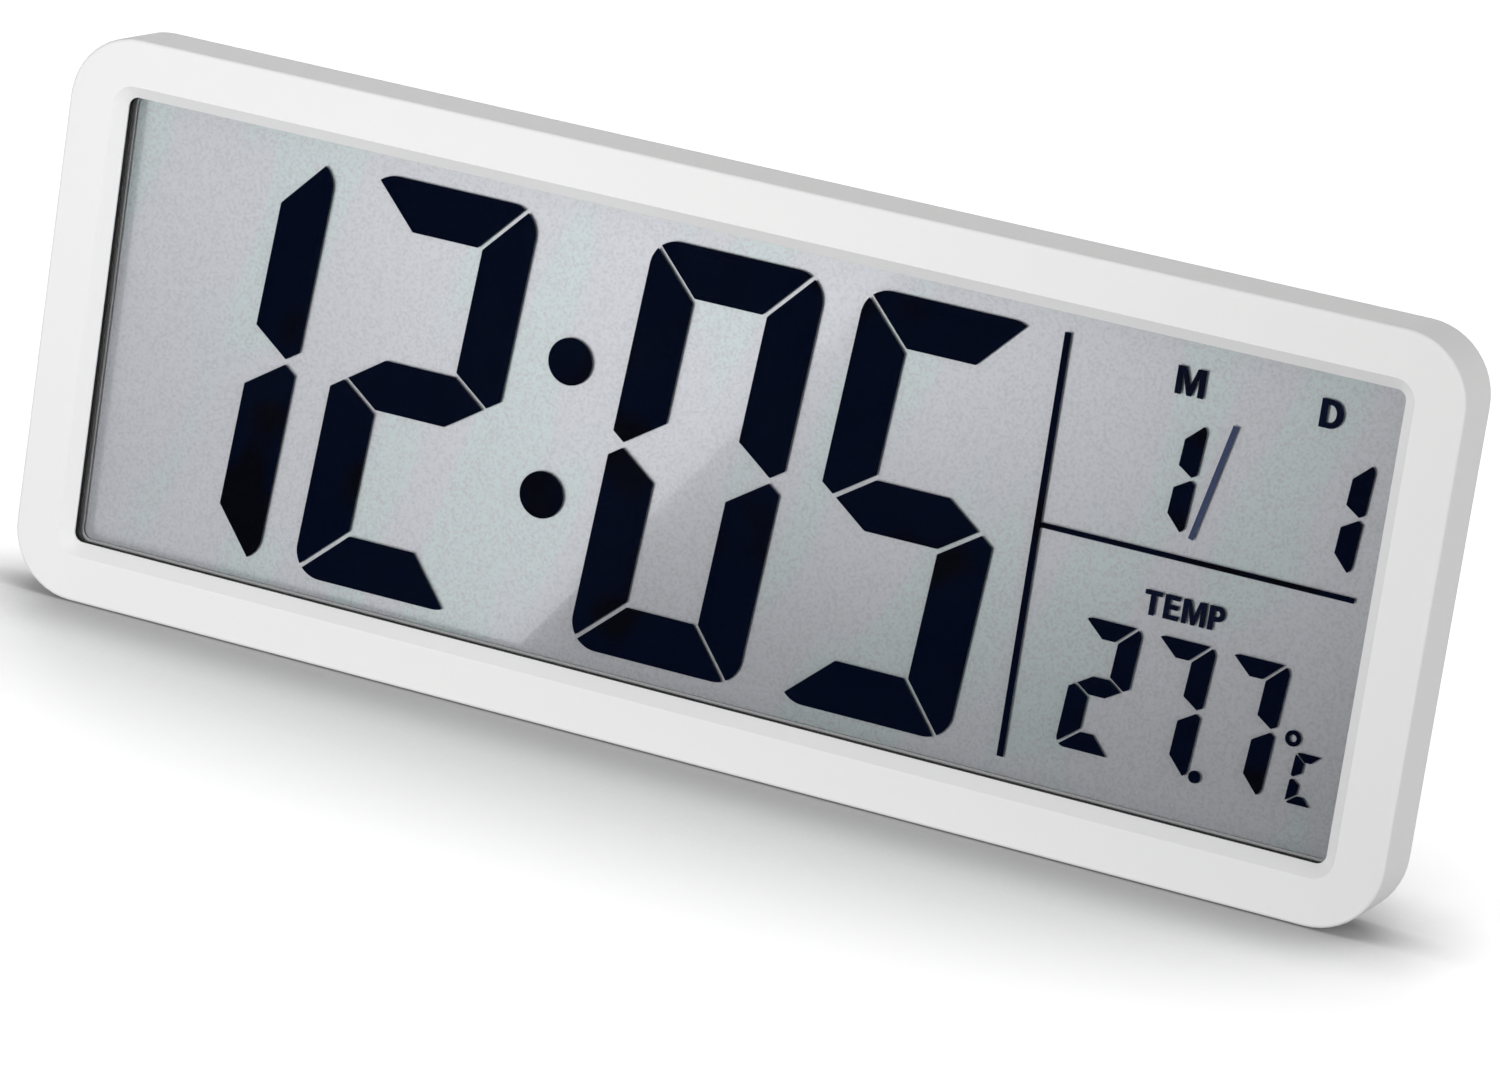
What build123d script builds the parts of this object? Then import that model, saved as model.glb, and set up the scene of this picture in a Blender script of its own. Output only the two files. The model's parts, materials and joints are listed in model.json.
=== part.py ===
from build123d import *

import os
from math import cos, hypot, pi, radians, sin, sqrt, tan

# A digital wall clock: X runs to the viewer's right, Y into the wall, Z up.
# The origin is the middle of the base under the case. Lengths are millimetres, angles degrees.

# Clearances and cuts that many pieces share
layer_gap = 0.05
fit_play = 0.2
overrun = 1

# Figures of the time
big_width = 44.9
big_height = 102
big_upright = 12.9
big_level = 12.5
big_gap = 1.1
big_corner = 7
big_space = 9.8
colon_space_before = 15.5
colon_space_after = 14.65
colon_rise = 16.7
colon_radius = 5.75

# Figures of the temperature, with a decimal dot, a degree ring and a C
warm_width = 14.6
warm_height = 31.7
warm_upright = 5.2
warm_level = 4.45
warm_gap = 0.7
warm_corner = 2.2
warm_space = 3.7
dot_step = 8.15
dot_lift = 0.75
dot_radius = 1.5
sign_width = 6.9
sign_height = 12.2
sign_upright = 2.4
sign_level = 2
sign_gap = 0.4
sign_corner = 1
sign_space = 5.25
sign_lift = 0.35
ring_back = 4.35
ring_rise = 9
ring_radius = 1.9
ring_hole_radius = 0.9

# Figures of the date, with a slash between month and day
date_width = 13.6
date_height = 26
date_upright = 4.85
date_level = 4
date_gap = 0.6
date_corner = 2
date_space = 5.75
slash_step = 11.05
slash_lift = 0.35
slash_run = 6.35
slash_rise = 28.2
slash_width = 1.35

# Lines that part the time, the date and the temperature
divider_width = 1.6
shelf_line_rise = 4.95
shelf_line_width = 1.25

# Free margins between the figures, the lines and the edges of the opening
first_margin = 7.35
divider_margin = 9.8
warm_margin = 14
month_margin = 22.675
day_margin = 6.275
shelf_line_margin = 5.15
sign_margin = 6.15
top_margin = 5.35
bottom_margin = 4.65
warm_low_margin = 10.75

# Display panel, from the front to the back
window_thickness = 2
gasket_thickness = 0.6
gasket_reveal = 0.3
polariser_thickness = 0.2
polariser_inset = 1
glass_thickness = 0.7
glass_border = 3.5
glass_corner = 1
contact_ledge = 4
ink_thickness = 0.1
seal_reveal = 0.2
reflector_thickness = 0.3
zebra_width = 2.4
zebra_inset = 5

# Screws: the case screws hold the cover, the holder screws the carrier, both in bosses on the frame
screw_inset = 2.8
screw_past_corner = 5
boss_radius = 3.2
boss_space = 0.8
screw_radius = 1.3
screw_hole_radius = 1.4
screw_clear_radius = 1.6
screw_head_radius = 2.3
screw_head_height = 1.1
screw_length = 8
head_recess_radius = 2.5
head_recess_depth = 1.2
cross_length = 2.6
cross_width = 0.6
cross_depth = 0.5
holder_screw_pitch = 48
spacer_drop = 2

# Front frame
side_wall = 3
face_thickness = 2.4
corner_radius = 17
front_edge_radius = 0.9
rear_edge_radius = 0.5
opening_corner = 2.5
bevel_width = 3
bevel_depth = 2.8
lip_thickness = 0.4
rabbet = 1.2
pocket_rib = 1.4
pocket_play = 0.3
tray_space = 2.3

# Carrier behind the display
holder_thickness = 1.6
tray_rib = 1.4
tray_rib_rise = 1.2
tray_side_bar = 19.2
tray_bar = 13
tray_low_bar = 10.7
tray_board_bar = 5
tray_window_corner = 6
well_space = 3
ear_height = 9
post_radius = 2.4
post_inset = 5

# Circuit board and the small parts on it
board_standoff = 1.4
board_thickness = 1.6
board_height = 26
board_inset = 13.5
board_margin = 0.8
board_corner = 2
board_screw_radius = 0.9
board_screw_hole = 1
board_screw_clear = 1.2
board_screw_head = 1.8
chip_step = 31
chip_radius = 7
chip_rise = 1.8
can_step = 22
can_radius = 1.2
can_length = 7
can_lead = 0.4
can_lead_pitch = 0.9
can_lead_reach = 2
bead_inset = 35
bead_radius = 1.2
bead_rise = 2.2
bead_lead_radius = 0.25
bead_lead_pitch = 1.2
capacitor_length = 3.2
capacitor_width = 1.6
capacitor_height = 1.2
capacitor_corner = 0.2
capacitor_pitch = 6
capacitor_step = 45

# Push buttons at the back, each over a switch on the board
button_names = ["set_button", "up_button", "down_button", "unit_button"]
button_pitch = 26
button_travel = 0.6
cap_width = 14
cap_height = 6
cap_rise = 1.1
cap_edge_radius = 0.5
cap_play = 0.3
flange_lap = 1.2
flange_thickness = 1
stem_radius = 1.4
stem_play = 0.35
stem_dip = 0.6
press_gap = 0.2
switch_size = 6
switch_height = 2.05
switch_corner = 0.5

# Batteries: two cells side by side, head to tail, between sprung contacts in a well
cell_diameter = 14.5
cell_length = 50.2
cell_space = 0.8
cell_play = 0.3
cell_crimp = 0.8
cell_foot_radius = 5.2
cell_foot_rise = 0.3
nub_radius = 2.75
nub_rise = 1
well_floor = 1.2
well_gap = 0.55
well_wall = 1.5
contact_thickness = 0.4
contact_size = 12
dimple_radius = 2.6
dimple_rise = 0.8
tail_width = 3
tail_reach = 4
spring_length = 5
wire_radius = 0.4
coil_base_radius = 4.6
coil_tip_radius = 2.6
coil_turns = 3.5
coil_steps = 7
lead_radius = 0.6
lead_lap = 4
lead_rise = 1.5
lead_spread = 2

# Battery door: a flush lid with two tabs below and a finger tongue above
door_thickness = 2
door_lap = 3.2
door_play = 0.3
door_rim = 2
door_corner = 3
door_edge = 10.7
door_rise = 13.5
ledge_thickness = 2
tab_width = 8
tab_thickness = 1.2
tab_reach = 2.5
tab_spacing = 34
tab_play = 0.3
tongue_width = 12
tongue_reach = 2.4
tongue_thickness = 1.2
scoop_width = 18
scoop_height = 7
scoop_depth = 1.6
groove_width = 1.2
groove_depth = 0.5
groove_pitch = 3
groove_length = 16
groove_count = 3

# Fold-out stand: a ribbed leg on a steel pin across a recess in the back
stand_width = 64
stand_foot_width = 54
stand_thickness = 4.4
stand_heel = 1.9
stand_open = 30
stand_play = 0.5
stand_sink = 0.35
heel_gap = 0.15
stand_foot_rise = 2
stand_foot_radius = 1.8
stand_corner = 6
stand_rib = 3
stand_pocket_depth = 2.4
stand_pockets = 3
recess_margin = 19.25
pin_radius = 1.1
pin_play = 0.08
pin_seat = 1.6

# Back cover: a plate in the frame's rabbet with a raised, drafted middle
cover_thickness = 2
hump_side = 27
hump_low = 4.5
hump_board_space = 3.5
hump_corner = 16
hump_draft = 35
hump_edge_radius = 1.2
hump_wall = 2
keyhole_radius = 4.6
keyhole_slot_radius = 2.3
keyhole_rise = 9
keyhole_margin = 5.35
vent_width = 1.6
vent_height = 12
vent_pitch = 4.2
vent_count = 7

# Shares: how far the figures lean, where their segments are cut, how much of a run a bend may take
lean_share = 0.0745
tip_share = 0.27
cut_share = 0.5
turn_share = 0.16
bend_share = 0.45

# Depths behind the front face, worked out from what lies in front of each layer
window_front = bevel_depth + lip_thickness + layer_gap
gasket_front = window_front + window_thickness + layer_gap
polariser_front = gasket_front + gasket_thickness + layer_gap
front_glass_front = polariser_front + polariser_thickness + layer_gap
ink_front = front_glass_front + glass_thickness + layer_gap
ink_rear = ink_front + ink_thickness
rear_glass_front = ink_rear + layer_gap
reflector_front = rear_glass_front + glass_thickness + layer_gap
holder_front = reflector_front + reflector_thickness + layer_gap
holder_rear = holder_front + holder_thickness
board_front = holder_rear + board_standoff
board_rear = board_front + board_thickness
switch_rear = board_rear + switch_height
switch_floor = switch_rear - stem_dip - button_travel - press_gap
flange_front = switch_rear + press_gap + button_travel
cover_front = flange_front + flange_thickness + layer_gap
spacer_front = cover_front - spacer_drop
side_depth = cover_front + cover_thickness
case_seat = side_depth - head_recess_depth
well_front = holder_front + well_gap
cell_depth = well_front + well_floor + cell_play + cell_diameter / 2
door_front = cell_depth + cell_diameter / 2 + cell_play
depth = door_front + door_thickness

# Opening and case, as wide as the figures and what lies behind the border ask
big_pitch = big_width + big_space
warm_pitch = warm_width + warm_space
time_width = 2 * big_pitch + 2 * big_width + colon_space_before + colon_space_after
panel_width = warm_margin + 2 * warm_pitch + warm_width + sign_space + sign_width + sign_margin
opening_width = first_margin + time_width + divider_margin + panel_width
opening_height = bottom_margin + big_height + top_margin
pocket_border = glass_border + pocket_play + pocket_rib
side_border = pocket_border + boss_space + boss_radius + screw_inset + side_wall
edge_border = pocket_border + contact_ledge + tray_space + side_wall
width = opening_width + 2 * side_border
height = opening_height + 2 * edge_border
middle = height / 2

# Places of the figures and lines, X from the middle and Z from the base
opening_left = -opening_width / 2
opening_right = opening_width / 2
opening_low = middle - opening_height / 2
first_x = opening_left + first_margin + big_width / 2
second_x = first_x + big_pitch
colon_x = second_x + big_width / 2 + colon_space_before
third_x = colon_x + colon_space_after + big_width / 2
fourth_x = third_x + big_pitch
divider_x = fourth_x + big_width / 2 + divider_margin
big_z = opening_low + bottom_margin + big_height / 2
shelf_line_z = middle + shelf_line_rise
shelf_line_end = opening_right - shelf_line_margin
warm_x = divider_x + warm_margin + warm_width / 2
warm_low = opening_low + warm_low_margin
warm_z = warm_low + warm_height / 2
sign_x = warm_x + 2 * warm_pitch + warm_width / 2 + sign_space + sign_width / 2
sign_z = warm_low + sign_lift + sign_height / 2
month_x = divider_x + month_margin + date_width / 2
day_x = opening_right - day_margin - date_width / 2
date_z = shelf_line_z + date_space + date_height / 2

# Sizes of the cavity, the glass and the pocket that holds it
cavity_width = width - 2 * side_wall
cavity_height = height - 2 * side_wall
cavity_corner = corner_radius - side_wall
glass_width = opening_width + 2 * glass_border
rear_glass_height = opening_height + 2 * glass_border
front_glass_height = rear_glass_height + contact_ledge
front_glass_middle = middle + contact_ledge / 2
pocket_width = glass_width + 2 * pocket_play
pocket_height = front_glass_height + 2 * pocket_play
pocket_corner = glass_corner + pocket_play
tray_width = pocket_width + 2 * pocket_rib
tray_height = pocket_height + 2 * pocket_rib
tray_corner = pocket_corner + pocket_rib
tray_low = front_glass_middle - tray_height / 2

# Places of the screws, the board and the buttons
screw_x = cavity_width / 2 - screw_inset
case_screw_low = side_wall + cavity_corner + screw_past_corner
case_screw_rows = [case_screw_low, middle, height - case_screw_low]
case_screw_places = [(way * screw_x, z) for way in (-1, 1) for z in case_screw_rows]
holder_screw_rows = [middle + way * holder_screw_pitch / 2 for way in (-1, 1)]
holder_screw_places = [(way * screw_x, z) for way in (-1, 1) for z in holder_screw_rows]
board_width = glass_width - 2 * board_inset
zebra_length = board_width - 2 * zebra_inset
zebra_z = middle + rear_glass_height / 2 + contact_ledge / 2
board_top = zebra_z + zebra_width / 2 + board_margin
board_middle = board_top - board_height / 2
board_low = board_top - board_height
post_spread = board_width / 2 - post_inset
post_places = [(way * post_spread, board_low + post_inset) for way in (-1, 0, 1)]
button_shifts = [place - (len(button_names) - 1) / 2 for place in range(len(button_names))]
button_places = [(shift * button_pitch, board_middle) for shift in button_shifts]
chip_place = (button_places[0][0] - chip_step, board_middle)
can_place = (chip_place[0] - can_step, board_middle)
bead_place = (bead_inset - board_width / 2, board_middle)
capacitor_place = (button_places[-1][0] + capacitor_step, board_middle)

# Raised middle of the back cover, with the battery well and its door
hump_rise = depth - side_depth
hump_slope = hump_rise * tan(radians(hump_draft))
hump_width = cavity_width - 2 * hump_side
hump_top = board_low - hump_board_space
hump_height = hump_top - hump_low
hump_middle = (0, hump_low + hump_height / 2)
cell_pitch = cell_diameter + cell_space
contact_span = spring_length + cell_length + layer_gap + dimple_rise
well_length = contact_span + 2 * (contact_thickness + layer_gap)
well_height = cell_pitch + cell_diameter + 2 * cell_play
well_outer = (well_length + 2 * well_wall, well_height + 2 * well_wall)
door_width = well_length + 2 * door_lap
door_height = well_height + 2 * door_lap
surround_low = hump_low + hump_slope + door_rise
door_low = surround_low + door_rim + tab_play + tab_reach
door_high = door_low + door_height
surround_high = door_high + scoop_height + door_rim
surround_width = door_width + 2 * (door_play + door_rim)
battery_x = hump_width / 2 - hump_slope - door_edge - surround_width / 2
battery_z = door_low + door_height / 2
well_left = battery_x - well_length / 2
left_face = battery_x - contact_span / 2
right_face = battery_x + contact_span / 2
lower_z = battery_z - cell_pitch / 2
upper_z = battery_z + cell_pitch / 2
contact_front = cell_depth - contact_size / 2
contact_rear = cell_depth + contact_size / 2
tail_rear = contact_front + contact_thickness
tail_end = well_left - well_wall - tail_reach
tab_rear = door_front - layer_gap
tab_front = tab_rear - tab_thickness
tab_places = [battery_x + way * tab_spacing / 2 for way in (-1, 1)]

# Stand with its recess, and the keyholes between the recess and the battery door
stand_depth = depth - stand_sink - stand_thickness / 2
stand_front = stand_depth - stand_thickness / 2
stand_rear = stand_depth + stand_thickness / 2
heel_swing = stand_thickness / 2 * cos(radians(stand_open)) + stand_heel * sin(radians(stand_open))
recess_floor = stand_depth - heel_swing - heel_gap
recess_top = hump_top - hump_slope - recess_margin
recess_width = stand_width + 2 * stand_play
stand_z = recess_top - stand_play - hypot(stand_heel, stand_thickness / 2)
stand_foot = hump_low + stand_foot_rise
keyhole_x = (recess_width / 2 + hump_wall + battery_x - surround_width / 2) / 2
keyhole_z = hump_top - hump_slope - keyhole_margin - keyhole_slot_radius - keyhole_rise

os.makedirs("parts", exist_ok=True)


def across(behind):
    """Plane parallel to the face at a depth behind it, X right and Z up, facing the viewer."""
    return Plane.XZ.offset(depth / 2 - behind)


def point(x, z, behind):
    """Point of the clock at a depth behind the face."""
    return Vector(x, behind - depth / 2, z)


def level_plane(x, z, behind, way=1):
    """Level plane through a point of the clock, its own X to the right, or to the left for -1."""
    return Plane(origin=point(x, z, behind), x_dir=(way, 0, 0), z_dir=(0, 0, 1))


def slab(front, rear, size, corner, centre, mode=Mode.ADD):
    """Adds or cuts a rounded slab between two depths on the piece being built."""
    with BuildSketch(across(rear)) as profile:
        with Locations(centre):
            RectangleRounded(*size, corner)
    extrude(profile.sketch, amount=rear - front, mode=mode)


def block(front, rear, size, centre, mode=Mode.ADD):
    """Adds or cuts a square-cornered block between two depths on the piece being built."""
    with BuildSketch(across(rear)) as profile:
        with Locations(centre):
            Rectangle(*size)
    extrude(profile.sketch, amount=rear - front, mode=mode)


def discs(front, rear, radius, centres, mode=Mode.ADD):
    """Adds or cuts a round post or hole at each centre, between two depths."""
    with BuildSketch(across(rear)) as profile:
        with Locations(centres):
            Circle(radius)
    extrude(profile.sketch, amount=rear - front, mode=mode)


def rod(x, z, behind, radius, length, mode=Mode.ADD):
    """Adds or cuts a round rod along X about a point of the clock."""
    with Locations(point(x, z, behind)):
        Cylinder(radius, length, rotation=(0, 90, 0), mode=mode)


def screws(places, seat, length, radius, head_radius):
    """Adds a pan-head screw with a cross recess at each place, its head on a seat."""
    head_rear = seat + screw_head_height
    discs(seat - length, seat, radius, places)
    discs(seat, head_rear, head_radius, places)
    for place in places:
        for size in ((cross_length, cross_width), (cross_width, cross_length)):
            block(head_rear - cross_depth, head_rear, size, place, Mode.SUBTRACT)


def write(piece, name):
    """Labels a finished piece and writes it as a node of its own."""
    piece.part.label = name
    export_step(piece.part, f"parts/{name}.step")


# Front frame: a rounded shell with a bevelled opening, a seat and a pocket rib for the display
bevel_taper = Vector(bevel_width, bevel_depth).get_angle(Vector(0, 1))
seat_rear = bevel_depth + lip_thickness
with BuildPart() as front_frame:
    slab(0, side_depth, (width, height), corner_radius, (0, middle))
    fillet(front_frame.edges().group_by(Axis.Y)[0], radius=front_edge_radius)
    fillet(front_frame.edges().group_by(Axis.Y)[-1], radius=rear_edge_radius)
    cavity_size = (cavity_width, cavity_height)
    slab(face_thickness, cover_front, cavity_size, cavity_corner, (0, middle), Mode.SUBTRACT)
    rabbet_size = (cavity_width + 2 * rabbet, cavity_height + 2 * rabbet)
    slab(cover_front, side_depth, rabbet_size, cavity_corner + rabbet, (0, middle), Mode.SUBTRACT)
    slab(face_thickness, holder_front, (tray_width, tray_height), tray_corner, (0, front_glass_middle))
    pocket_size = (pocket_width, pocket_height)
    slab(seat_rear, holder_front, pocket_size, pocket_corner, (0, front_glass_middle), Mode.SUBTRACT)
    slab(0, seat_rear, (opening_width, opening_height), opening_corner, (0, middle), Mode.SUBTRACT)
    with BuildSketch(across(0)):
        with Locations((0, middle)):
            bevel_size = (opening_width + 2 * bevel_width, opening_height + 2 * bevel_width)
            RectangleRounded(*bevel_size, opening_corner + bevel_width)
    extrude(amount=-bevel_depth, taper=bevel_taper, mode=Mode.SUBTRACT)
    discs(face_thickness, spacer_front, boss_radius, case_screw_places)
    discs(face_thickness, holder_front, boss_radius, holder_screw_places)
    discs(face_thickness, spacer_front, screw_hole_radius, case_screw_places, Mode.SUBTRACT)
    discs(face_thickness, holder_front, screw_hole_radius, holder_screw_places, Mode.SUBTRACT)
write(front_frame, "front_frame")

# Flat layers of the display
front_glass_size = (glass_width, front_glass_height)
rear_glass_size = (glass_width, rear_glass_height)
film_size = (glass_width - 2 * polariser_inset, rear_glass_height - 2 * polariser_inset)

with BuildPart() as window_lens:
    window_rear = window_front + window_thickness
    slab(window_front, window_rear, front_glass_size, glass_corner, (0, front_glass_middle))
write(window_lens, "window_lens")

with BuildPart() as display_gasket:
    gasket_rear = gasket_front + gasket_thickness
    gasket_hole = (opening_width + 2 * gasket_reveal, opening_height + 2 * gasket_reveal)
    slab(gasket_front, gasket_rear, front_glass_size, glass_corner, (0, front_glass_middle))
    slab(gasket_front, gasket_rear, gasket_hole, opening_corner, (0, middle), Mode.SUBTRACT)
write(display_gasket, "display_gasket")

with BuildPart() as front_polariser:
    slab(polariser_front, polariser_front + polariser_thickness, film_size, glass_corner, (0, middle))
write(front_polariser, "front_polariser")

with BuildPart() as lcd_front_glass:
    front_glass_rear = front_glass_front + glass_thickness
    slab(front_glass_front, front_glass_rear, front_glass_size, glass_corner, (0, front_glass_middle))
write(lcd_front_glass, "lcd_front_glass")

with BuildPart() as lcd_rear_glass:
    slab(rear_glass_front, rear_glass_front + glass_thickness, rear_glass_size, glass_corner, (0, middle))
write(lcd_rear_glass, "lcd_rear_glass")

with BuildPart() as rear_reflector:
    slab(reflector_front, reflector_front + reflector_thickness, film_size, glass_corner, (0, middle))
write(rear_reflector, "rear_reflector")

with BuildPart() as lcd_seal:
    seal_hole = (opening_width - 2 * seal_reveal, opening_height - 2 * seal_reveal)
    slab(ink_front, ink_rear, rear_glass_size, glass_corner, (0, middle))
    slab(ink_front, ink_rear, seal_hole, opening_corner, (0, middle), Mode.SUBTRACT)
write(lcd_seal, "lcd_seal")

# Seven-segment figures: they lean to the right, and their segments meet at mitred gaps
lit = {"0": "abcdef", "1": "bc", "2": "abdeg", "5": "acdfg", "7": "abc", "C": "adef"}


def leaning(x, z):
    """Point of a figure about its centre, moved right as it rises."""
    return (x + lean_share * z, z)


def outline(points, mode=Mode.ADD):
    """Adds or cuts a closed outline of straight edges on the sketch being drawn."""
    with BuildLine() as edge:
        Polyline(*points, close=True)
    make_face(edge.edges(), mode=mode)


def seven_segments(wide, tall, upright, level, gap, corner):
    """Faces of a whole figure about its centre, keyed a to g, from its stroke widths."""
    side, top = wide / 2, tall / 2
    inner, shelf = side - upright, top - level
    tip = side - tip_share * upright
    notch = (side - tip) * (level / 2) / (tip - inner)
    shift, turn = cut_share * gap, turn_share * upright
    waist = level / 2 + shift
    cuts = []
    for way, swing in ((-1, 0), (1, turn)):
        for up in (-1, 1):
            outer_end = leaning(way * side - shift - swing, up * top)
            cuts.append((leaning(way * inner - shift, up * shelf), outer_end))
            cuts.append((leaning(way * inner, up * waist), leaning(way * side, -up * notch)))
    with BuildSketch() as figure:
        outline([leaning(-side, -top), leaning(side, -top), leaning(side, top), leaning(-side, top)])
        fillet(figure.vertices(), radius=corner)
        for up in (-1, 1):
            low, high = up * level / 2, up * shelf
            corners = ((-inner, low), (inner, low), (inner, high), (-inner, high))
            outline([leaning(x, z) for x, z in corners], Mode.SUBTRACT)
        for way in (-1, 1):
            wedge = [leaning(way * tip, 0), leaning(way * side, notch), leaning(way * side, -notch)]
            outline(wedge, Mode.SUBTRACT)
        for start, end in cuts:
            along = (Vector(*end) - Vector(*start)).normalized() * 2 * gap
            with BuildLine() as cut:
                Line(Vector(*start) - along, Vector(*end) + along)
            trace(cut.line, line_width=gap, mode=Mode.SUBTRACT)
    beside = side - upright / 2
    centres = {
        "a": (0, top - level / 2),
        "b": (beside, top / 2),
        "c": (beside, -top / 2),
        "d": (0, level / 2 - top),
        "e": (-beside, -top / 2),
        "f": (-beside, top / 2),
        "g": (0, 0),
    }
    faces = figure.faces()
    return {name: faces.sort_by_distance(leaning(*spot))[0] for name, spot in centres.items()}


def figures(text, segments, places):
    """Adds a lit figure at each place to the sketch being drawn."""
    for sign, place in zip(text, places):
        with Locations(place):
            add([segments[name] for name in lit[sign]])


# Time
big_segments = seven_segments(big_width, big_height, big_upright, big_level, big_gap, big_corner)

with BuildPart() as hour_digits:
    with BuildSketch(across(ink_rear)):
        figures("12", big_segments, [(first_x, big_z), (second_x, big_z)])
    extrude(amount=ink_thickness)
write(hour_digits, "hour_digits")

with BuildPart() as minute_digits:
    with BuildSketch(across(ink_rear)):
        figures("05", big_segments, [(third_x, big_z), (fourth_x, big_z)])
    extrude(amount=ink_thickness)
write(minute_digits, "minute_digits")

with BuildPart() as colon_dots:
    colon_places = [leaning(0, way * colon_rise) for way in (-1, 1)]
    discs(ink_front, ink_rear, colon_radius, [(colon_x + x, big_z + z) for x, z in colon_places])
write(colon_dots, "colon_dots")

# Lines that part the time, the date and the temperature
with BuildPart() as divider_lines:
    block(ink_front, ink_rear, (divider_width, big_height), (divider_x, big_z))
    shelf_line_length = shelf_line_end - divider_x
    shelf_line_centre = (divider_x + shelf_line_length / 2, shelf_line_z)
    block(ink_front, ink_rear, (shelf_line_length, shelf_line_width), shelf_line_centre)
write(divider_lines, "divider_lines")

# Date: month and day with a slash between them
date_segments = seven_segments(date_width, date_height, date_upright, date_level, date_gap, date_corner)

with BuildPart() as date_digits:
    with BuildSketch(across(ink_rear)):
        figures("11", date_segments, [(month_x, date_z), (day_x, date_z)])
        with BuildLine() as slash:
            slash_centre = Vector(month_x + slash_step, date_z + slash_lift)
            half_slash = Vector(slash_run, slash_rise) / 2
            Line(slash_centre - half_slash, slash_centre + half_slash)
        trace(slash.line, line_width=slash_width)
    extrude(amount=ink_thickness)
write(date_digits, "date_digits")

# Temperature, with its decimal dot, degree ring and C
warm_segments = seven_segments(warm_width, warm_height, warm_upright, warm_level, warm_gap, warm_corner)
sign_segments = seven_segments(sign_width, sign_height, sign_upright, sign_level, sign_gap, sign_corner)

with BuildPart() as temperature_digits:
    with BuildSketch(across(ink_rear)):
        figures("277", warm_segments, [(warm_x + place * warm_pitch, warm_z) for place in range(3)])
        with Locations((warm_x + warm_pitch + dot_step, warm_low + dot_lift)):
            Circle(dot_radius)
    extrude(amount=ink_thickness)
write(temperature_digits, "temperature_digits")

with BuildPart() as unit_sign:
    with BuildSketch(across(ink_rear)):
        figures("C", sign_segments, [(sign_x, sign_z)])
        with Locations((sign_x - ring_back, sign_z + ring_rise)):
            Circle(ring_radius)
            Circle(ring_hole_radius, mode=Mode.SUBTRACT)
    extrude(amount=ink_thickness)
write(unit_sign, "unit_sign")

# Rubber connector between the ledge of the front glass and the board
with BuildPart() as zebra_strip:
    block(ink_front, board_front, (zebra_length, zebra_width), (0, zebra_z))
write(zebra_strip, "zebra_strip")

# Carrier: a tray with windows, one of them for the battery well, ears for its screws, posts for the board
with BuildPart() as lcd_holder:
    slab(holder_front, holder_rear, (tray_width, tray_height), tray_corner, (0, front_glass_middle))
    rib_rear = holder_rear + tray_rib_rise
    rib_hole = (tray_width - 2 * tray_rib, tray_height - 2 * tray_rib)
    slab(holder_rear, rib_rear, (tray_width, tray_height), tray_corner, (0, front_glass_middle))
    slab(holder_rear, rib_rear, rib_hole, pocket_corner, (0, front_glass_middle), Mode.SUBTRACT)
    ear_end = cavity_width / 2 - fit_play
    ear_length = ear_end - tray_width / 2 + overrun
    for x, z in holder_screw_places:
        ear_centre = ((ear_end - ear_length / 2) * x / screw_x, z)
        block(holder_front, holder_rear, (ear_length, ear_height), ear_centre)
    well_window = (well_outer[0] + 2 * well_space, well_outer[1] + 2 * well_space)
    slab(holder_front, holder_rear, well_window, well_space, (battery_x, battery_z), Mode.SUBTRACT)
    windows_left = tray_side_bar - tray_width / 2
    windows_right = battery_x - well_window[0] / 2 - tray_bar
    window_low = tray_low + tray_low_bar
    window_high = board_low - tray_board_bar
    window_size = ((windows_right - windows_left - tray_bar) / 2, window_high - window_low)
    for centre_x in (windows_left + window_size[0] / 2, windows_right - window_size[0] / 2):
        window_centre = (centre_x, (window_low + window_high) / 2)
        slab(holder_front, holder_rear, window_size, tray_window_corner, window_centre, Mode.SUBTRACT)
    zebra_hole = (zebra_length + 2 * fit_play, zebra_width + 2 * fit_play)
    block(holder_front, holder_rear, zebra_hole, (0, zebra_z), Mode.SUBTRACT)
    discs(holder_rear, board_front, post_radius, post_places)
    discs(holder_front, board_front, board_screw_hole, post_places, Mode.SUBTRACT)
    discs(holder_front, holder_rear, screw_clear_radius, holder_screw_places, Mode.SUBTRACT)
write(lcd_holder, "lcd_holder")

with BuildPart() as holder_screws:
    holder_grip = holder_rear - face_thickness - fit_play
    screws(holder_screw_places, holder_rear, holder_grip, screw_radius, screw_head_radius)
write(holder_screws, "holder_screws")

with BuildPart() as case_screws:
    screws(case_screw_places, case_seat, screw_length, screw_radius, screw_head_radius)
write(case_screws, "case_screws")

# Circuit board with its screws, switches and small parts
with BuildPart() as circuit_board:
    slab(board_front, board_rear, (board_width, board_height), board_corner, (0, board_middle))
    discs(board_front, board_rear, board_screw_clear, post_places, Mode.SUBTRACT)
write(circuit_board, "circuit_board")

with BuildPart() as board_screws:
    board_grip = board_rear - holder_front - fit_play
    screws(post_places, board_rear, board_grip, board_screw_radius, board_screw_head)
write(board_screws, "board_screws")

with BuildPart() as tact_switches:
    for place in button_places:
        slab(board_rear, switch_rear, (switch_size, switch_size), switch_corner, place)
    discs(switch_floor, switch_rear, stem_radius + stem_play, button_places, Mode.SUBTRACT)
write(tact_switches, "tact_switches")

with BuildPart() as chip_blob:
    dome_radius = (chip_radius**2 + chip_rise**2) / (2 * chip_rise)
    with BuildSketch(level_plane(*chip_place, board_rear)):
        with BuildLine():
            RadiusArc((0, chip_rise), (chip_radius, 0), dome_radius)
            Polyline((chip_radius, 0), (0, 0), (0, chip_rise))
        make_face()
    revolve(axis=Axis(point(*chip_place, board_rear), (0, 1, 0)))
write(chip_blob, "chip_blob")

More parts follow.
